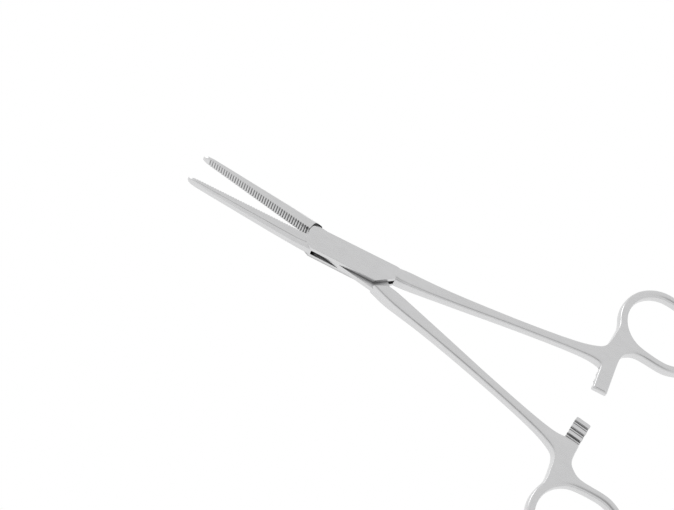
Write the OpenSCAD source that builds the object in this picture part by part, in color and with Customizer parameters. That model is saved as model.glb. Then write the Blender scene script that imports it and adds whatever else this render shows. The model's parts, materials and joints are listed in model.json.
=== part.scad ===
// Straight haemostatic forceps with a box lock, a ratchet and two finger rings.
// Each half is drawn in its closed place: X runs from the jaws to the rings, Y across the
// halves, Z through the thickness. The halves are then turned apart about the pivot.
// The origin is on the pivot axis, at the underside of the box lock.

/* [Overall] */
// Angle between the two halves as the forceps lie open, degrees
opening = 9.45; // [3:0.05:30]
// Distance from the pivot to the jaw tips
jaw_l = 48; // [40:0.5:56]
// Full thickness at the box lock
box_t = 4.8; // [4.4:0.1:6]

/* [Jaws] */
// Width of one jaw where it leaves the box
jaw_root_w = 3.7; // [3.3:0.1:3.9]
// Width of one jaw just behind its rounded tip
jaw_tip_w = 1.15; // [0.9:0.05:1.6]
// Thickness of the jaws just behind the tip
jaw_tip_t = 3; // [2.6:0.1:3.8]
// Distance between two grooves of the serrated faces
groove_pitch = 0.8; // [0.6:0.05:1.2]
// Depth of each groove
groove_depth = 0.3; // [0.15:0.05:0.4]
// Gap between each jaw face and the centre line when the jaws are shut
jaw_gap = 0.04; // [0.02:0.01:0.1]

/* [Box lock] */
// Half the width of the box
box_half_w = 3.65; // [3.5:0.05:4]
// Height of the slot that the thin middle of the other half passes through
slot_t = 1.9; // [1.5:0.1:2.2]
// Gap between the thin middle and the slot, above and below it
slot_gap = 0.06; // [0.03:0.01:0.15]
// Gap between the ends of the box and the shoulders of the other half
shoulder_gap = 0.12; // [0.08:0.01:0.2]
// Radius of the pivot pin
pin_r = 1.25; // [1:0.05:1.5]
// Radial running gap of the pin in the thin middle
pin_gap = 0.04; // [0.02:0.01:0.1]

/* [Shanks] */
// Thickness of the slimmest part of the shanks
shank_t = 2.8; // [2.4:0.1:3.2]
// Thickness of the ratchet neck and the finger rings
bow_t = 3.4; // [3.3:0.1:3.8]
// Width of the bevels along the shanks
bevel = 0.6; // [0.3:0.05:0.8]

/* [Ratchet] */
// Width of each ratchet arm
arm_w = 4.5; // [4:0.1:5]
// How far each arm reaches past the centre line when the jaws are shut
arm_reach = 1.6; // [1:0.1:2]
// Thickness of each arm
arm_t = 1.6; // [1.3:0.05:1.65]
// Distance between two ratchet teeth
tooth_pitch = 2.4; // [2:0.1:2.6]
// Depth of each tooth
tooth_depth = 0.7; // [0.4:0.05:0.8]
// Number of teeth on each arm
tooth_count = 3; // [2:1:3]

/* [Finger rings] */
// Radius of the round ends of each ring's hole
ring_hole_r = 9.7; // [9:0.1:10.5]
// Length of the straight sides of each ring
ring_straight = 4.4; // [1:0.2:5]
// Width of the band around the hole
ring_band_w = 2.7; // [2.5:0.1:3.2]
// Inward tilt of each ring's long axis, degrees
ring_tilt = 9; // [0:1:15]
// Radius of the fillets between the neck and the ring
neck_fillet = 6; // [3:0.5:7]
// Radius of the fillet between the shank and the ratchet arm
arm_fillet = 2.4; // [1.5:0.1:3]

/* [Hidden] */
$fn = 96;
mid_z = box_t / 2;
// Ends of the box, and where the slot's slanted walls meet its two sides
box_end_x = [-11, 16.6];
wall_near_x = [-7.9, 11.8];
wall_far_x = 12.5;
// Cut-off corner at the jaw end of the box
corner_x = -9;
corner_y = 1.9;
corner_drop = 0.4;
// How far cutters and joined bodies run past the surface they meet
past = 2;
// How far the thin middle runs into the jaw and the shank of its own half
tang_root = 1.4;
jaw_bevel = 1.1;
tip_len = 1.2;
groove_start_x = -12;
arm_x = 79;
arm_split_gap = 0.05;
arm_root_y = 8;
// Foot of each ratchet tooth: run of the steep flank, end of the flat, and lead-in height
tooth_flank = 0.25;
tooth_flat = 0.6;
tooth_lead = 0.15;
tooth_land = 0.3;
ring_mid = [93.5, 26.9];
// The web behind the neck is thinner than the ring band, and ends a little past the ring's middle
web_drop = 0.4;
web_reach = 4;
cut_size = 40;
ring_band_r = ring_hole_r + ring_band_w / 2;
ring_outer_r = ring_hole_r + ring_band_w;
band_overlap = 0.5;
// One shank from the box to the neck: x, inner edge, outer edge, thickness, bevel
SHANK = [
    [12, 0.9, box_half_w, box_t, 0.05], [18, 0.1, 4.4, 0.94 * box_t, 0.6 * bevel],
    [21, 0.35, 4.6, 0.85 * box_t, bevel], [24, 0.65, 4.8, 1.3 * shank_t, bevel],
    [31, 1.55, 5.2, 1.18 * shank_t, bevel], [38, 2.5, 5.85, 1.12 * shank_t, bevel],
    [45, 3.55, 6.6, 1.07 * shank_t, bevel], [52, 4.55, 7.4, 1.03 * shank_t, bevel],
    [60, 5.6, 8.45, shank_t, bevel], [67, 6.5, 9.45, shank_t, bevel],
    [73, 7.3, 10.65, (shank_t + bow_t) / 2, 0.8 * bevel], [77, 7.5, 11.9, bow_t, 0.5 * bevel]
];
NECK_START = SHANK[9];
NECK_ROOT = SHANK[10];

function jaw_share(x) = (x + jaw_l) / (jaw_l + box_end_x[0]);

// Jaws swell a little between tip and root
function jaw_w(x) =
    jaw_tip_w + (jaw_root_w - jaw_tip_w) * jaw_share(x) + 0.45 * jaw_share(x) * (1 - jaw_share(x));

function jaw_t(x) = jaw_tip_t + (box_t * 0.87 - jaw_tip_t) * jaw_share(x);

// Bar section with four bevelled edges, seen along X at one station
function bar_section(x, y0, y1, t, b) = [
    [x, y0 + b, t / 2], [x, y1 - b, t / 2], [x, y1, t / 2 - b], [x, y1, b - t / 2],
    [x, y1 - b, -t / 2], [x, y0 + b, -t / 2], [x, y0, b - t / 2], [x, y0, t / 2 - b]
];

// Jaw section: flat inner face, bevelled back
function jaw_section(x, w, t, b) = [
    [x, 0, t / 2], [x, w - b, t / 2], [x, w, t / 2 - b],
    [x, w, b - t / 2], [x, w - b, -t / 2], [x, 0, -t / 2]
];

// Skins a row of sections that all have the same number of corners
module loft(sections) {
    n = len(sections[0]);
    last = len(sections) - 1;
    sides = [
        for (i = [0 : last - 1], j = [0 : n - 1])
            [i * n + j, i * n + (j + 1) % n, (i + 1) * n + (j + 1) % n, (i + 1) * n + j]
    ];
    near_end = [for (j = [n - 1 : -1 : 0]) j];
    far_end = [for (j = [0 : n - 1]) last * n + j];
    polyhedron([for (s = sections) each s], concat([near_end], sides, [far_end]), convexity = 4);
}

// Whole jaw without grooves, on the +Y side
module jaw_blank() {
    steps = 6;
    start = -jaw_l + tip_len;
    tip = [
        jaw_section(-jaw_l, 0.5 * jaw_tip_w, 0.45 * jaw_tip_t, 0.2),
        jaw_section(-jaw_l + 0.3 * tip_len, 0.8 * jaw_tip_w, 0.75 * jaw_tip_t, 0.35)
    ];
    body = [
        for (i = [0 : steps])
            let (x = start + (box_end_x[0] + 1 - start) * i / steps, w = jaw_w(x))
                jaw_section(x, w, jaw_t(x), min(jaw_bevel, 0.45 * w))
    ];
    loft(concat(tip, body));
}

// Saw-tooth strip that cuts the cross grooves
module grooves() {
    count = floor((jaw_l - 1.5 + groove_start_x) / groove_pitch);
    for (i = [0 : count - 1])
        translate([groove_start_x - i * groove_pitch, 0, 0])
            rotate([0, 0, 45])
                cube([groove_depth * sqrt(2), groove_depth * sqrt(2), 2 * box_t], center = true);
}

// Jaw on the +Y side, with its face just off the centre line
module jaw() {
    translate([0, jaw_gap, 0])
        difference() {
            jaw_blank();
            grooves();
        }
}

// Shank on the +Y side, from the box to the neck
module shank() {
    loft([for (s = SHANK) bar_section(s[0], s[1], s[2], s[3], s[4])]);
}

module ring_plan(r) {
    for (side = [-1, 1])
        translate([side * ring_straight / 2, 0])
            circle(r = r);
    square([ring_straight, 2 * r], center = true);
}

// Plan of the shank's end and the ratchet arm's root
module arm_root_plan() {
    offset(r = -arm_fillet)
        offset(delta = arm_fillet)
            polygon([
                [NECK_START[0], NECK_START[1] + 0.2], [NECK_ROOT[0], NECK_ROOT[1]],
                [arm_x, NECK_ROOT[1] + 0.2], [arm_x, 4], [arm_x + arm_w, 4], [arm_x + arm_w, 12],
                [arm_x + 2, 14], [arm_x, 12.6],
                [NECK_ROOT[0], NECK_ROOT[2]], [NECK_START[0], NECK_START[2] - 0.2]
            ]);
}

// Plan of the neck that carries the ring
module ring_root_plan() {
    offset(r = -neck_fillet)
        offset(delta = neck_fillet) {
            translate(ring_mid)
                rotate([0, 0, -ring_tilt])
                    ring_plan(ring_outer_r - band_overlap);
            polygon([
                [NECK_ROOT[0], NECK_ROOT[1] + 1], [arm_x + 4, 7], [arm_x + 4.3, 12], [arm_x + 8, 18],
                [arm_x + 3.5, 17], [arm_x + 0.2, 12.8], [NECK_ROOT[0], NECK_ROOT[2]]
            ]);
        }
}

// Flat web where the shank, the ratchet arm and the ring meet
module neck() {
    linear_extrude(height = bow_t - web_drop, center = true)
        intersection() {
            difference() {
                union() {
                    arm_root_plan();
                    ring_root_plan();
                }
                translate(ring_mid)
                    rotate([0, 0, -ring_tilt])
                        ring_plan(ring_hole_r + band_overlap);
            }
            translate([ring_mid[0] + web_reach - cut_size, ring_mid[1] + web_reach - cut_size])
                square(cut_size);
        }
}

module band_section() {
    intersection() {
        circle(r = 0.58 * bow_t);
        square([ring_band_w, bow_t], center = true);
    }
}

// Finger ring on the +Y side: two round ends joined by straight sides
module ring() {
    translate([ring_mid[0], ring_mid[1], 0])
        rotate([0, 0, -ring_tilt])
            for (turn = [0, 180])
                rotate([0, 0, turn]) {
                    translate([ring_straight / 2, 0, 0])
                        rotate([0, 0, -90])
                            rotate_extrude(angle = 180)
                                translate([ring_band_r, 0])
                                    band_section();
                    translate([-ring_straight / 2, ring_band_r, 0])
                        rotate([90, 0, 90])
                            linear_extrude(height = ring_straight)
                                band_section();
                }
}

// Ratchet arm of the +Y half. It lies above the middle, and its teeth point down.
module ratchet_arm() {
    translate([arm_x, 0, 0])
        difference() {
            translate([0, -arm_reach, arm_split_gap])
                cube([arm_w, arm_root_y + arm_reach, arm_t]);
            for (i = [0 : tooth_count - 1])
                translate([-past / 2, 1 - arm_reach + i * tooth_pitch, arm_split_gap])
                    rotate([90, 0, 90])
                        linear_extrude(height = arm_w + past)
                            polygon([
                                [0, -1], [0, tooth_lead],
                                [tooth_flank, tooth_depth], [tooth_flat, tooth_depth],
                                [tooth_pitch - tooth_land, 0], [tooth_pitch - tooth_land, -1]
                            ]);
        }
}

// Everything a half has behind the box, on the +Y side
module handle() {
    shank();
    neck();
    ring();
    ratchet_arm();
}

// Outline of the box lock on the far side of its jaw
module lock_plan() {
    polygon([
        [box_end_x[0] + 0.4, 0], [box_end_x[0], corner_y], [corner_x, box_half_w - corner_drop],
        [-4, box_half_w], [wall_far_x, box_half_w], [box_end_x[1], box_half_w + 0.3],
        [box_end_x[1], 0.15], [wall_near_x[1], -box_half_w], [wall_near_x[0], -box_half_w]
    ]);
}

// Solid of the half whose jaw is at -Y and whose shank is at +Y, before its box is opened
module box_body() {
    linear_extrude(height = box_t, center = true)
        union() {
            lock_plan();
            polygon([
                [box_end_x[0], -jaw_gap], [box_end_x[0] + 0.5, 0], [wall_near_x[0], -box_half_w],
                [corner_x, 0.3 - box_half_w], [box_end_x[0], 0.55 - box_half_w]
            ]);
        }
}

// Room for the thin middle of the other half: open at both sides of the box
module slot() {
    far_y = box_half_w + past;
    linear_extrude(height = slot_t, center = true)
        polygon([
            [box_end_x[0] + 0.2, 0.1], [box_end_x[0] - 1, 0.1], [box_end_x[0] - 1, far_y],
            [wall_far_x, far_y], [wall_far_x, box_half_w], [box_end_x[1], 0.12],
            [box_end_x[1] + 1, 0.12], [box_end_x[1] + 1, -far_y],
            [wall_near_x[0], -far_y], [wall_near_x[0], -box_half_w]
        ]);
}

// Half with the box: the outer piece of the lock
module female_half() {
    color("silver")
        translate([0, 0, mid_z])
            rotate([0, 0, opening / 2])
                difference() {
                    union() {
                        mirror([0, 1, 0])
                            jaw();
                        box_body();
                        handle();
                    }
                    slot();
                    cylinder(r = pin_r, h = 2 * box_t, center = true);
                }
}

// Shoulders of the male half: the full thickness ends where the box begins
module box_clearance() {
    far_y = box_half_w + past;
    linear_extrude(height = 2 * box_t, center = true)
        offset(delta = shoulder_gap)
            polygon([
                [box_end_x[0] - 0.3, 0], [box_end_x[0], corner_y], [corner_x, box_half_w - corner_drop],
                [corner_x + 1, far_y], [box_end_x[1] + 3, far_y], [box_end_x[1], 0],
                [wall_near_x[1], -box_half_w], [wall_near_x[1], -far_y], [wall_near_x[0] - past, -far_y],
                [box_end_x[0] - 0.6, -0.4]
            ]);
}

// Half that passes through the box
module male_half() {
    color("gainsboro")
        translate([0, 0, mid_z])
            rotate([0, 0, -opening / 2])
                difference() {
                    union() {
                        difference() {
                            union() {
                                jaw();
                                mirror([0, 1, 0])
                                    box_body();
                                rotate([180, 0, 0])
                                    handle();
                            }
                            box_clearance();
                        }
                        tang();
                    }
                    cylinder(r = pin_r + pin_gap, h = 2 * box_t, center = true);
                }
}

// Thin middle of the male half, just clear of the slot on every side
module tang() {
    linear_extrude(height = slot_t - 2 * slot_gap, center = true)
        offset(delta = -shoulder_gap)
            polygon([
                [box_end_x[0] + 0.2, 0.1], [box_end_x[0] - tang_root, 0.1], [box_end_x[0] - tang_root, 2.6],
                [corner_x - 0.6, box_half_w - 0.2], [-4, box_half_w], [wall_far_x, box_half_w],
                [box_end_x[1], 0.12], [box_end_x[1] + tang_root, 0.02], [box_end_x[1] + tang_root, -2],
                [wall_near_x[1] + 1, -box_half_w], [wall_near_x[0], -box_half_w]
            ]);
}

// Riveted pin, ground flush with both sides of the box
module pivot_pin() {
    color("silver")
        cylinder(r = pin_r, h = box_t);
}

female_half();
male_half();
pivot_pin();
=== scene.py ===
"""Straight haemostatic forceps lying open on a pale ground: two steel halves on a box lock."""
import json
from math import atan2, cos, floor, pi, radians, sin, sqrt

import bmesh
import bpy
from mathutils import Euler, Matrix, Vector


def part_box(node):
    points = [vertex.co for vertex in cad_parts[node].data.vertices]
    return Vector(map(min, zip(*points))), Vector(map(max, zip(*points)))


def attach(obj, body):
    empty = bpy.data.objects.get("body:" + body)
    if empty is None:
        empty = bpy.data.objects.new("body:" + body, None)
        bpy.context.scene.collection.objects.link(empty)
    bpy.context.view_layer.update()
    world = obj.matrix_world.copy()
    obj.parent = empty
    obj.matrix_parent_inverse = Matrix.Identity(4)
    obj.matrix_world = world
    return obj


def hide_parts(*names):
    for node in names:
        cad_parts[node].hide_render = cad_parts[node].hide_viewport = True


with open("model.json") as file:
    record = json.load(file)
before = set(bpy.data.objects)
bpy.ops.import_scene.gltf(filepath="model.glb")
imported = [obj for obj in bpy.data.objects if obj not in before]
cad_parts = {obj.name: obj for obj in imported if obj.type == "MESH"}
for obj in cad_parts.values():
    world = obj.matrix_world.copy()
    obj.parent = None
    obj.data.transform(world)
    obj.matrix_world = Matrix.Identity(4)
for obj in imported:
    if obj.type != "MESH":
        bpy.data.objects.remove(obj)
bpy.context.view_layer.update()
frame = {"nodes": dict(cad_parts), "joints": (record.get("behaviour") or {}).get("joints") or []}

# Everything is modelled in millimetres, in the place it has when the jaws are shut, with the
# half's own jaw at -Y and its own shank at +Y. Z is measured from the middle of the thickness.
MM = 0.001
HALF_OPEN = radians(frame["joints"][0]["range_deg"][1] + 0.05) / 2
LOCK_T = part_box("pivot_pin")[1][2] / MM
PIN_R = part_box("pivot_pin")[1][0] / MM

# How near a vertex or edge must lie to a place to be picked by it
HAIR = 0.01

# Jaw stations from root to tip: x, width, thickness
JAW = [
    (-8.2, 3.6, 4.76), (-10.8, 3.62, 4.7), (-12.2, 3.62, 4.3), (-13.5, 3.58, 4.12),
    (-20, 3.22, 3.92), (-30, 2.5, 3.55), (-40, 1.76, 3.15), (-45.0, 1.34, 2.95),
    (-46.6, 1.14, 2.5), (-47.5, 0.86, 1.85), (-47.98, 0.45, 1.0),
]
JAW_FACE = 0.05
JAW_BEVEL = 0.27
JAW_ROUND = 0.2
GROOVE_PITCH = 0.8
GROOVE_DEPTH = 0.3
GROOVES = (-12.0, -46.4)

# Outline of the box from above, and the slope of its faces down to the shank at the ring end
LOCK_PLAN = [
    (-11, -2.2), (-8.3, -3.62), (11.8, -3.62), (16.6, 0.15), (16.6, 3.88), (-9, 3.55),
    (-10.3, 3.42), (-10.72, 3.0), (-11, 1.9),
]
BOX_SLOPE = radians(14)
SLOPE_START = 15.4
BOX_ROUND = 0.14

# The slot through the box, the thin middle of the other half, and the play between them. The
# other half's shoulders stand back a little more at the jaw end of the cheeks.
SLOT_T = 1.9
SLOT_BLOCK = (-20, -8), (24, 8)
SLOT_LEFT = [(-7.9, -3.62), (-10.8, 0.1)]
SLOT_RIGHT = [(16.6, 0.12), (12.5, 3.65)]
TANG_T = 1.76
TANG_PLAN = [
    (-12.7, -2.55), (-9.4, -3.42), (-4, -3.64), (12.6, -3.67), (19.2, 2.1), (18.5, 3.4),
    (-7.95, 3.64),
]
GAP = 0.12
CORNER_ROOM = 0.1
END_ROOM = 0.3

# Shank stations from lock to neck: x, inner edge, outer edge, thickness
SHANK = [
    (11.4, 0.95, 3.0, 4.7), (14.5, 0.3, 3.65, 4.66), (18, 0.1, 4.36, 4.5),
    (21, 0.34, 4.6, 4.06), (25, 0.75, 4.85, 3.6), (31, 1.55, 5.2, 3.3), (38, 2.5, 5.85, 3.14),
    (45, 3.55, 6.6, 3.0), (52, 4.55, 7.4, 2.9), (60, 5.6, 8.45, 2.8), (67, 6.45, 9.5, 2.8),
    (72.5, 7.0, 10.5, 2.95), (76.3, 7.2, 11.7, 3.25),
]

# The bow is one skin of shank, neck, ratchet arm and ring, drawn out from a thin strip. BOW_X parts
# the shank from the rest. The rims are bevelled, the ring's most.
STRIP = 0.02
BOW_T = 3.38
BOW_BEVEL = 0.72
RING_BEVEL = 1.08
BOW_X = 78
RING_FROM = (79.5, 15.5)
ARM_X = (79.0, 80.5, 82.0, 83.5)
NECK_TOP = (13.0, 14.4, 13.9, 12.4)
NECK_BOTTOM = 6.7
NECK_BACK = (12, 14.6)
NECK_WAY = radians(200), radians(256)
ARM_ROWS = (5.2, 2.5, -1.25, -1.62)
ARM_T = 1.62

# Ratchet teeth from the arm's end: a steep step, a flat foot and a long ramp down to a land.
# Two fine lines lie in each, placed by y and depth, the second measured from the first.
TEETH = 3
TOOTH_X = (76, 86)
TOOTH_START = 1.0
TOOTH_PITCH = 2.4
TOOTH_DEPTH = 0.45
TOOTH_LAND = 0.3
TOOTH_STEP = 0.25
TOOTH_RAMP = 1.1
LINE_SIDE = 0.6
FIRST_LINE = (0.2, 0.42)
SECOND_LINE = (1.1, -0.17)

RING_MID = (93.5, 26.9)
RING_TILT = radians(-9)
RING_R = 9.7
RING_STRETCH = 2.2
BAND_W = 2.68
RING_STEPS = 24

# Up-and-down part of a normal: a face below UPRIGHT is a wall, above FLAT a top or underside
UPRIGHT = 0.3
FLAT = 0.6
SMOOTH = radians(28)

STEEL_TONE = (0.7, 0.7, 0.705)
PIN_TONE = (0.69, 0.69, 0.695)
# How far the painted crevice shade looks for nearby surfaces
CREVICE_SHADE_REACH = 0.0018


def deselect():
    if bpy.context.object and bpy.context.object.mode != "OBJECT":
        bpy.ops.object.mode_set(mode="OBJECT")
    bpy.ops.object.select_all(action="DESELECT")


def choose(obj):
    deselect()
    obj.select_set(True)
    bpy.context.view_layer.objects.active = obj


def settle():
    """Puts the chosen object's place, turn and size into its mesh."""
    bpy.ops.object.transform_apply(location=True, rotation=True, scale=True)


def enter(obj):
    choose(obj)
    bpy.ops.object.mode_set(mode="EDIT")


def leave():
    bpy.ops.object.mode_set(mode="OBJECT")


def pick(obj, kind, test):
    """Selects the vertices, edges or faces that pass the test, in edit mode."""
    bpy.ops.mesh.select_mode(type={"verts": "VERT", "edges": "EDGE", "faces": "FACE"}[kind])
    bpy.ops.mesh.select_all(action="DESELECT")
    bm = bmesh.from_edit_mesh(obj.data)
    for part in getattr(bm, kind):
        if kind == "verts":
            spot = part.co
        elif kind == "edges":
            spot = (part.verts[0].co + part.verts[1].co) / 2
        else:
            spot = part.calc_center_median()
        if test(part, spot):
            part.select = True
    bm.select_flush_mode()
    bmesh.update_edit_mesh(obj.data)


def move(x=0, y=0, z=0):
    bpy.ops.transform.translate(value=(x, y, z))


def draw_out(x=0, y=0, z=0):
    bpy.ops.mesh.extrude_region_move(TRANSFORM_OT_translate={"value": (x, y, z)})


def scale(x=1, y=1, z=1, about=(0, 0, 0)):
    bpy.ops.transform.resize(value=(x, y, z), center_override=about)


def finish_mesh(obj):
    """Merges doubles and turns every normal outward."""
    enter(obj)
    bpy.ops.mesh.select_all(action="SELECT")
    bpy.ops.mesh.remove_doubles(threshold=0.0005)
    bpy.ops.mesh.normals_make_consistent(inside=False)
    leave()


def apply_modifier(obj, kind, **settings):
    choose(obj)
    mod = obj.modifiers.new(kind.title(), kind)
    for key, value in settings.items():
        setattr(mod, key, value)
    bpy.ops.object.modifier_apply(modifier=mod.name)


def repeat(obj, count, step):
    """Makes a row of count copies, each a step from the last."""
    apply_modifier(
        obj, "ARRAY", count=count, use_relative_offset=False, use_constant_offset=True,
        constant_offset_displace=step,
    )


def combine(obj, tool, how):
    """Joins or cuts obj with tool, and removes the tool."""
    apply_modifier(obj, "BOOLEAN", operation=how, object=tool, solver="EXACT")
    bpy.data.objects.remove(tool)


def new_cube(name, low, high):
    deselect()
    middle = [(a + b) / 2 for a, b in zip(low, high)]
    bpy.ops.mesh.primitive_cube_add(size=1, location=middle)
    cube = bpy.context.object
    cube.name = name
    cube.scale = [b - a for a, b in zip(low, high)]
    settle()
    return cube


def trim(point, normal):
    """Cuts away what lies on the normal's side of a plane and closes the cut."""
    bpy.ops.mesh.select_all(action="SELECT")
    bpy.ops.mesh.bisect(plane_co=point, plane_no=normal, use_fill=True, clear_outer=True)


def slab(name, plan, thickness, grow=0):
    """Plate with a convex outline, its corners given anticlockwise, cut out of a wider block."""
    xs, ys = zip(*plan)
    spare = 2
    plate = new_cube(
        name, (min(xs) - spare, min(ys) - spare, -thickness / 2),
        (max(xs) + spare, max(ys) + spare, thickness / 2),
    )
    enter(plate)
    for (x0, y0), (x1, y1) in zip(plan, plan[1:] + plan[:1]):
        out = Vector((y1 - y0, x0 - x1, 0)).normalized()
        trim(Vector((x0, y0, 0)) + out * grow, out)
    leave()
    return plate


def mirrored_plan(plan):
    return [(x, -y) for x, y in reversed(plan)]


def make_jaw(name):
    """Jaw on the -Y side: a bar drawn out station by station, bevelled along its back."""
    x, _, t = JAW[0]
    jaw = new_cube(name, (JAW[1][0], -JAW[1][1], -t / 2), (x, 0, t / 2))
    enter(jaw)
    at = JAW[1]
    pick(jaw, "faces", lambda f, p: p.x < JAW[1][0] + HAIR)
    scale(z=at[2] / t)
    for station in JAW[2:]:
        draw_out(x=station[0] - at[0])
        scale(y=station[1] / at[1], z=station[2] / at[2])
        at = station

    def back(e, p):
        runs_along = abs(e.verts[0].co.x - e.verts[1].co.x) > 10 * HAIR
        return runs_along and abs(p.z) > 5 * HAIR and all(v.co.y < -2 * HAIR for v in e.verts)

    pick(jaw, "edges", back)
    bpy.ops.mesh.bevel(
        offset_type="PERCENT", offset_pct=JAW_BEVEL * 100, segments=1, affect="EDGES"
    )
    bpy.ops.mesh.select_all(action="SELECT")
    move(y=-JAW_FACE)
    leave()
    finish_mesh(jaw)
    apply_modifier(
        jaw, "BEVEL", width=JAW_ROUND, segments=3, limit_method="ANGLE", angle_limit=radians(25)
    )
    return jaw


def cut_grooves(half):
    """Cross grooves along the jaw's face, one sharp prism copied along the row."""
    side = GROOVE_DEPTH * sqrt(2)
    count = floor((GROOVES[0] - GROOVES[1]) / GROOVE_PITCH) + 1
    cutter = new_cube("groove", (-side / 2, -side / 2, -3), (side / 2, side / 2, 3))
    cutter.rotation_euler.z = pi / 4
    settle()
    enter(cutter)
    move(x=GROOVES[0], y=-JAW_FACE)
    leave()
    repeat(cutter, count, (-GROOVE_PITCH, 0, 0))
    combine(half, cutter, "DIFFERENCE")


def make_bow(name, arm_side):
    """Shank, neck, ratchet arm and ring in one skin. The arm lies on the arm_side of the middle."""
    deselect()
    x, inner, outer, t = SHANK[0]
    bpy.ops.mesh.primitive_plane_add(size=1, location=(x, (inner + outer) / 2, 0))
    bow = bpy.context.object
    bow.name = name
    bow.scale = (STRIP, outer - inner, 1)
    settle()
    enter(bow)
    at = (x, inner, outer)
    pick(bow, "edges", lambda e, p: p.x > x + STRIP / 4)
    for station in SHANK[1:]:
        middle = (station[1] + station[2]) / 2
        draw_out(station[0] - at[0], middle - (at[1] + at[2]) / 2)
        scale(y=(station[2] - station[1]) / (at[2] - at[1]), about=(station[0], middle, 0))
        at = station
    for x, top in zip(ARM_X, NECK_TOP):
        middle = (NECK_BOTTOM + top) / 2
        draw_out(x - at[0], middle - (at[1] + at[2]) / 2)
        scale(y=(top - NECK_BOTTOM) / (at[2] - at[1]), about=(x, middle, 0))
        at = (x, NECK_BOTTOM, top)
    pick(bow, "edges", lambda e, p: p.x > ARM_X[0] + 0.1 and abs(p.y - NECK_BOTTOM) < HAIR)
    y = NECK_BOTTOM
    for row in ARM_ROWS:
        draw_out(0, row - y)
        y = row
    leave()

    deselect()
    bpy.ops.mesh.primitive_circle_add(vertices=RING_STEPS, radius=RING_R, fill_type="NOTHING")
    ring = bpy.context.object
    ring.rotation_euler.z = pi / RING_STEPS
    settle()
    enter(ring)
    bpy.ops.mesh.select_all(action="SELECT")
    bpy.ops.mesh.extrude_region_move()
    grow = (RING_R + BAND_W) / RING_R
    scale(x=grow, y=grow)
    for side in (1, -1):
        pick(ring, "verts", lambda v, p: p.x * side > 0)
        move(x=side * RING_STRETCH)
    leave()
    ring.rotation_euler.z = RING_TILT
    ring.location = (*RING_MID, 0)
    settle()
    choose(bow)
    ring.select_set(True)
    bpy.ops.object.join()

    enter(bow)
    centre = Vector((*RING_MID, 0))

    def on_neck(e, p):
        """The open edges that face each other: the neck's back and the ring's side towards it."""
        if not e.is_boundary:
            return False
        if ARM_X[0] < p.x < ARM_X[-1] and NECK_BACK[0] < p.y < NECK_BACK[1]:
            return True
        d = p - centre
        angle = atan2(d.y, d.x) % (2 * pi)
        d.rotate(Euler((0, 0, -RING_TILT)))
        d.x -= RING_STRETCH if d.x > 0 else -RING_STRETCH
        return NECK_WAY[0] < angle < NECK_WAY[1] and abs(d.length - RING_R - BAND_W) < BAND_W / 3

    pick(bow, "edges", on_neck)
    bpy.ops.mesh.bridge_edge_loops(number_cuts=1, interpolation="LINEAR")
    bpy.ops.mesh.select_all(action="SELECT")
    move(z=-BOW_T / 2)
    draw_out(z=BOW_T)
    bpy.ops.mesh.select_all(action="SELECT")
    bpy.ops.mesh.normals_make_consistent(inside=False)
    for station in SHANK:
        pick(bow, "verts", lambda v, p: abs(p.x - station[0]) < 0.3 and p.y < 12.5)
        scale(z=station[3] / BOW_T)
    on_arm = 10 * HAIR
    pick(
        bow, "verts",
        lambda v, p: p.y < ARM_ROWS[0] + on_arm and p.x > BOW_X and p.z * arm_side < 0,
    )
    move(z=arm_side * (BOW_T / 2 + (BOW_T / 2 - ARM_T)))

    def toothed(p):
        return p.y < ARM_ROWS[0] - on_arm and p.x > BOW_X and p.z * arm_side < 1

    def rim(e, p):
        if len(e.link_faces) != 2:
            return False
        tilt = sorted(abs(f.normal.z) for f in e.link_faces)
        return tilt[0] < UPRIGHT and tilt[1] > FLAT and not toothed(p)

    def ring_rim(e, p):
        return rim(e, p) and p.x > RING_FROM[0] and p.y > RING_FROM[1]

    def arm_rim(e, p):
        return toothed(p) and sum(abs(f.normal.z) > FLAT for f in e.link_faces) == 1

    pick(bow, "edges", rim)
    bpy.ops.transform.edge_bevelweight(value=BOW_BEVEL / RING_BEVEL)
    pick(bow, "edges", ring_rim)
    bpy.ops.transform.edge_bevelweight(value=1)
    pick(bow, "edges", arm_rim)
    bpy.ops.transform.edge_crease(value=1)
    leave()
    apply_modifier(
        bow, "BEVEL", width=RING_BEVEL, segments=2, profile=0.6, limit_method="WEIGHT",
        use_clamp_overlap=False,
    )
    finish_mesh(bow)
    apply_modifier(bow, "SUBSURF", levels=3, render_levels=3)
    return bow


def cut_teeth(half, arm_side):
    """Ratchet teeth across the arm's inner face, with two fine lines in each."""
    face = arm_side * (BOW_T / 2 - ARM_T)
    start = ARM_ROWS[-1] + TOOTH_START
    cutter = new_cube(
        "tooth", (TOOTH_X[0], start, -1), (TOOTH_X[1], start + TOOTH_PITCH - TOOTH_LAND, 0)
    )
    enter(cutter)
    pick(cutter, "verts", lambda v, p: p.z > -0.5)
    move(z=TOOTH_DEPTH)
    pick(cutter, "verts", lambda v, p: p.z > -0.5 and p.y < start + 0.1)
    move(y=TOOTH_STEP)
    pick(cutter, "verts", lambda v, p: p.z > -0.5 and p.y > start + 1)
    move(y=-TOOTH_RAMP)
    bpy.ops.mesh.select_all(action="SELECT")
    scale(z=arm_side)
    move(z=face)
    bpy.ops.mesh.normals_make_consistent(inside=False)
    leave()
    repeat(cutter, TEETH, (0, TOOTH_PITCH, 0))
    combine(half, cutter, "DIFFERENCE")

    edge = LINE_SIDE / 2
    line = new_cube("tooth_line", (TOOTH_X[0], -edge, -edge), (TOOTH_X[1], edge, edge))
    line.rotation_euler.x = pi / 4
    settle()
    enter(line)
    move(y=start + FIRST_LINE[0], z=face + arm_side * FIRST_LINE[1])
    leave()
    repeat(line, 2, (0, SECOND_LINE[0], arm_side * SECOND_LINE[1]))
    repeat(line, TEETH, (0, TOOTH_PITCH, 0))
    combine(half, line, "DIFFERENCE")


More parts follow.
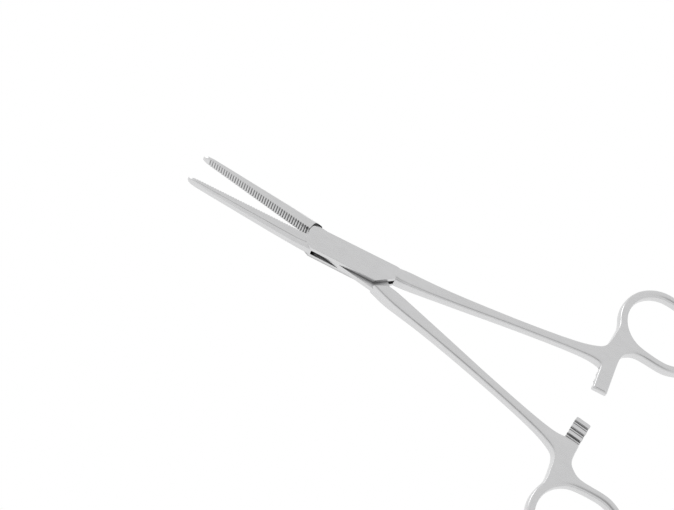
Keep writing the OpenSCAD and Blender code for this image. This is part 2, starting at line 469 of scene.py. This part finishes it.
def make_box():
    """The two cheeks of the box lock in one block, its ring end sloped down to the shank."""
    box = slab("box", LOCK_PLAN, LOCK_T)
    enter(box)
    for way in (1, -1):
        trim((SLOPE_START, 0, way * LOCK_T / 2), (sin(BOX_SLOPE), 0, way * cos(BOX_SLOPE)))
    leave()
    finish_mesh(box)
    apply_modifier(
        box, "BEVEL", width=BOX_ROUND, segments=2, limit_method="ANGLE", angle_limit=radians(30)
    )
    return box


def make_slot():
    """Block that opens the box for the other half, its ends on the slot's two slanted walls."""
    low, high = SLOT_BLOCK
    slot = new_cube("slot", (*low, -SLOT_T / 2), (*high, SLOT_T / 2))
    enter(slot)
    for (x0, y0), (x1, y1) in (SLOT_LEFT, SLOT_RIGHT):
        out = Vector((y1 - y0, x0 - x1, 0)).normalized()
        if out.x * x0 < 0:
            out = -out
        trim((x0, y0, 0), out)
    leave()
    return slot


def place(half, turn, mirrored):
    """Turns a finished half to its open place and brings it to metres, its place in its mesh."""
    enter(half)
    bpy.ops.mesh.select_all(action="SELECT")
    if mirrored:
        scale(y=-1)
    leave()
    half.rotation_euler.z = turn
    half.location.z = LOCK_T / 2 * MM
    half.scale = (MM, MM, MM)
    choose(half)
    settle()
    enter(half)
    bpy.ops.mesh.select_all(action="SELECT")
    bpy.ops.mesh.remove_doubles(threshold=0.000001)
    bpy.ops.mesh.normals_make_consistent(inside=False)
    leave()
    bpy.ops.object.shade_smooth_by_angle(angle=SMOOTH)
    apply_modifier(half, "WEIGHTED_NORMAL", keep_sharp=True, weight=80)


def make_female():
    """The half with the box: box, jaw and bow in one, then the slot, rivet hole and teeth."""
    half = make_box()
    combine(half, make_jaw("jaw"), "UNION")
    combine(half, make_bow("bow", 1), "UNION")
    combine(half, make_slot(), "DIFFERENCE")
    deselect()
    bpy.ops.mesh.primitive_cylinder_add(vertices=64, radius=PIN_R, depth=2 * LOCK_T)
    combine(half, bpy.context.object, "DIFFERENCE")
    cut_grooves(half)
    cut_teeth(half, 1)
    place(half, HALF_OPEN, False)
    half.name = "half_with_box"
    return half


def make_male():
    """The half through the box: jaw and bow, cut clear of the cheeks, and a thin middle."""
    half = make_jaw("jaw")
    combine(half, make_bow("bow", -1), "UNION")
    room = mirrored_plan(LOCK_PLAN)
    room[0] = (room[0][0] - CORNER_ROOM, room[0][1])
    room[-1] = (room[-1][0] - END_ROOM, room[-1][1])
    combine(half, slab("cheeks", room, 3 * LOCK_T, GAP), "DIFFERENCE")
    combine(half, slab("tang", TANG_PLAN, TANG_T, -GAP), "UNION")
    cut_grooves(half)
    cut_teeth(half, -1)
    place(half, -HALF_OPEN, True)
    half.name = "half_through_box"
    return half


# ---- finishes ----

def new_material(name):
    mat = bpy.data.materials.new(name)
    mat.use_nodes = True
    nodes = mat.node_tree.nodes
    nodes.clear()
    return mat, nodes, mat.node_tree.links


def satin_steel(name, tone):
    """Satin stainless steel: fine brushing, cloudy roughness, faint handling marks, and painted
    shade in its crevices.
    """
    mat, nodes, links = new_material(name)
    out = nodes.new("ShaderNodeOutputMaterial")
    skin = nodes.new("ShaderNodeBsdfPrincipled")
    links.new(skin.outputs["BSDF"], out.inputs["Surface"])
    skin.inputs["Metallic"].default_value = 1
    coords = nodes.new("ShaderNodeTexCoord")

    def noise(scale_xyz, size, detail, rough):
        mapping = nodes.new("ShaderNodeMapping")
        mapping.inputs["Scale"].default_value = scale_xyz
        tex = nodes.new("ShaderNodeTexNoise")
        tex.inputs["Scale"].default_value = size
        tex.inputs["Detail"].default_value = detail
        tex.inputs["Roughness"].default_value = rough
        links.new(coords.outputs["Object"], mapping.inputs["Vector"])
        links.new(mapping.outputs["Vector"], tex.inputs["Vector"])
        return tex.outputs["Fac"]

    def ramp(fac, low, high, start=0.3, stop=0.7):
        r = nodes.new("ShaderNodeMapRange")
        r.inputs["From Min"].default_value = start
        r.inputs["From Max"].default_value = stop
        r.inputs["To Min"].default_value = low
        r.inputs["To Max"].default_value = high
        links.new(fac, r.inputs["Value"])
        return r.outputs["Result"]

    def product(a, b):
        m = nodes.new("ShaderNodeMath")
        m.operation = "MULTIPLY"
        links.new(a, m.inputs[0])
        links.new(b, m.inputs[1])
        return m.outputs["Value"]

    brushing = noise((0.12, 1, 1), 5200, 3, 0.6)
    clouds = noise((1, 1, 1), 130, 4, 0.55)
    marks = noise((0.3, 1, 1), 900, 6, 0.7)

    # Painted shade in crevices, drawn from ambient occlusion: more at the jaw's root than at its
    # tip, and less beyond the lock
    painted_crevice_shade = nodes.new("ShaderNodeAmbientOcclusion")
    painted_crevice_shade.samples = 8
    painted_crevice_shade.inputs["Distance"].default_value = CREVICE_SHADE_REACH
    axes = nodes.new("ShaderNodeSeparateXYZ")
    links.new(coords.outputs["Object"], axes.inputs["Vector"])
    painted_shade_factor = nodes.new("ShaderNodeMath")
    painted_shade_factor.operation = "POWER"
    links.new(ramp(painted_crevice_shade.outputs["AO"], 0.1, 1.0, 0.4, 0.9), painted_shade_factor.inputs[0])
    root_side = ramp(axes.outputs["X"], 0.45, 1.15, -0.045, -0.016)
    ring_side = ramp(axes.outputs["X"], 1.0, 0.42, 0.002, 0.006)
    links.new(product(root_side, ring_side), painted_shade_factor.inputs[1])

    shade = product(ramp(clouds, 0.965, 1.0), ramp(marks, 0.97, 1.0, 0.35, 0.6))
    # The painted crevice shade multiplies the random tone and handling marks in the base colour
    shade = product(shade, painted_shade_factor.outputs["Value"])
    mix = nodes.new("ShaderNodeMix")
    mix.data_type = "RGBA"
    mix.blend_type = "MULTIPLY"
    mix.inputs["Factor"].default_value = 1
    mix.inputs["A"].default_value = (*tone, 1)
    links.new(shade, mix.inputs["B"])
    links.new(mix.outputs["Result"], skin.inputs["Base Color"])
    links.new(product(ramp(clouds, 0.24, 0.32), ramp(brushing, 0.9, 1.1)), skin.inputs["Roughness"])
    bump = nodes.new("ShaderNodeBump")
    bump.inputs["Strength"].default_value = 0.12
    bump.inputs["Distance"].default_value = 0.00002
    links.new(brushing, bump.inputs["Height"])
    links.new(bump.outputs["Normal"], skin.inputs["Normal"])
    return mat


def white_ground():
    mat, nodes, links = new_material("white_ground")
    out = nodes.new("ShaderNodeOutputMaterial")
    glow = nodes.new("ShaderNodeEmission")
    glow.inputs["Color"].default_value = (1, 1, 1, 1)
    glow.inputs["Strength"].default_value = 1.0
    links.new(glow.outputs["Emission"], out.inputs["Surface"])
    return mat


steel = satin_steel("satin_steel", STEEL_TONE)
pin_steel = satin_steel("pin_steel", PIN_TONE)

female = make_female()
female.data.materials.clear()
female.data.materials.append(steel)
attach(female, "female")
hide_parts("female_half")

male = make_male()
male.data.materials.clear()
male.data.materials.append(steel)
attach(male, "male")
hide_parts("male_half")

frame["nodes"]["pivot_pin"].material_slots[0].material = pin_steel

# ---- ground, camera and light ----
GROUND_SIZE = 6
GROUND_Z = -0.0004

ELEVATION = radians(57.5)
AZIMUTH = radians(5.72)
ROLL = radians(26.34)
DISTANCE = 0.3946
AIM_SHIFT = (-0.00105, 0.00015)
FOCAL_LENGTH = 75.27

OPENING_ELEVATION = radians(80)
OPENING_RIM = radians(26)
OPENING_HEART = radians(10)
TENT_LIGHT = 0.85
OPENING_LIGHT = 0.36

WINDOW_WAY = (-0.78, -0.537, 0.3)
WINDOW_AIM = Vector((0.07, 0, 0))
WINDOW_DISTANCE = 0.6
WINDOW_SIZE = 0.26
WINDOW_POWER = 0.38

deselect()
bpy.ops.mesh.primitive_plane_add(size=GROUND_SIZE, location=(0, 0, GROUND_Z))
ground = bpy.context.object
ground.name = "ground"
ground.data.materials.append(white_ground())

scene = bpy.context.scene
scene.view_settings.view_transform = "Standard"

back = Vector((sin(AZIMUTH) * cos(ELEVATION), -cos(AZIMUTH) * cos(ELEVATION), sin(ELEVATION)))
level = Vector((cos(AZIMUTH), sin(AZIMUTH), 0))
near = Vector((sin(AZIMUTH), -cos(AZIMUTH), 0))
rise = back.cross(level)
right = level * cos(ROLL) + rise * sin(ROLL)
up = rise * cos(ROLL) - level * sin(ROLL)
aim = Vector((0, 0, LOCK_T / 2 * MM)) + right * AIM_SHIFT[0] + up * AIM_SHIFT[1]
turn = Matrix((right, up, back)).transposed()

camera_data = bpy.data.cameras.new("camera")
camera_data.lens = FOCAL_LENGTH
camera_data.sensor_width = 36
camera_data.clip_start = 0.01
camera = bpy.data.objects.new("camera", camera_data)
camera.matrix_world = Matrix.Translation(aim + back * DISTANCE) @ turn.to_4x4()
scene.collection.objects.link(camera)
scene.camera = camera

# The studio: an even white tent with a soft dark opening overhead, and a small window far left
world = bpy.data.worlds.new("studio")
scene.world = world
world.use_nodes = True
nodes, links = world.node_tree.nodes, world.node_tree.links
backdrop = nodes["Background"]
backdrop.inputs["Color"].default_value = (1, 1, 1, 1)
ray = nodes.new("ShaderNodeTexCoord")
toward = nodes.new("ShaderNodeVectorMath")
toward.operation = "DOT_PRODUCT"
opening_way = near * cos(OPENING_ELEVATION) + Vector((0, 0, sin(OPENING_ELEVATION)))
toward.inputs[1].default_value = opening_way
tent = nodes.new("ShaderNodeMapRange")
tent.interpolation_type = "SMOOTHSTEP"
tent.inputs["From Min"].default_value = cos(OPENING_RIM)
tent.inputs["From Max"].default_value = cos(OPENING_HEART)
tent.inputs["To Min"].default_value = TENT_LIGHT
tent.inputs["To Max"].default_value = OPENING_LIGHT
links.new(ray.outputs["Generated"], toward.inputs[0])
links.new(toward.outputs["Value"], tent.inputs["Value"])
links.new(tent.outputs["Result"], backdrop.inputs["Strength"])

along, across, rising = WINDOW_WAY
window_way = (level * along + near * across + Vector((0, 0, rising))).normalized()
bpy.ops.object.light_add(type="AREA", location=WINDOW_AIM + window_way * WINDOW_DISTANCE)
window = bpy.context.object
window.name = "window"
window.rotation_euler = window_way.to_track_quat("Z", "Y").to_euler()
window.data.size = WINDOW_SIZE
window.data.energy = WINDOW_POWER
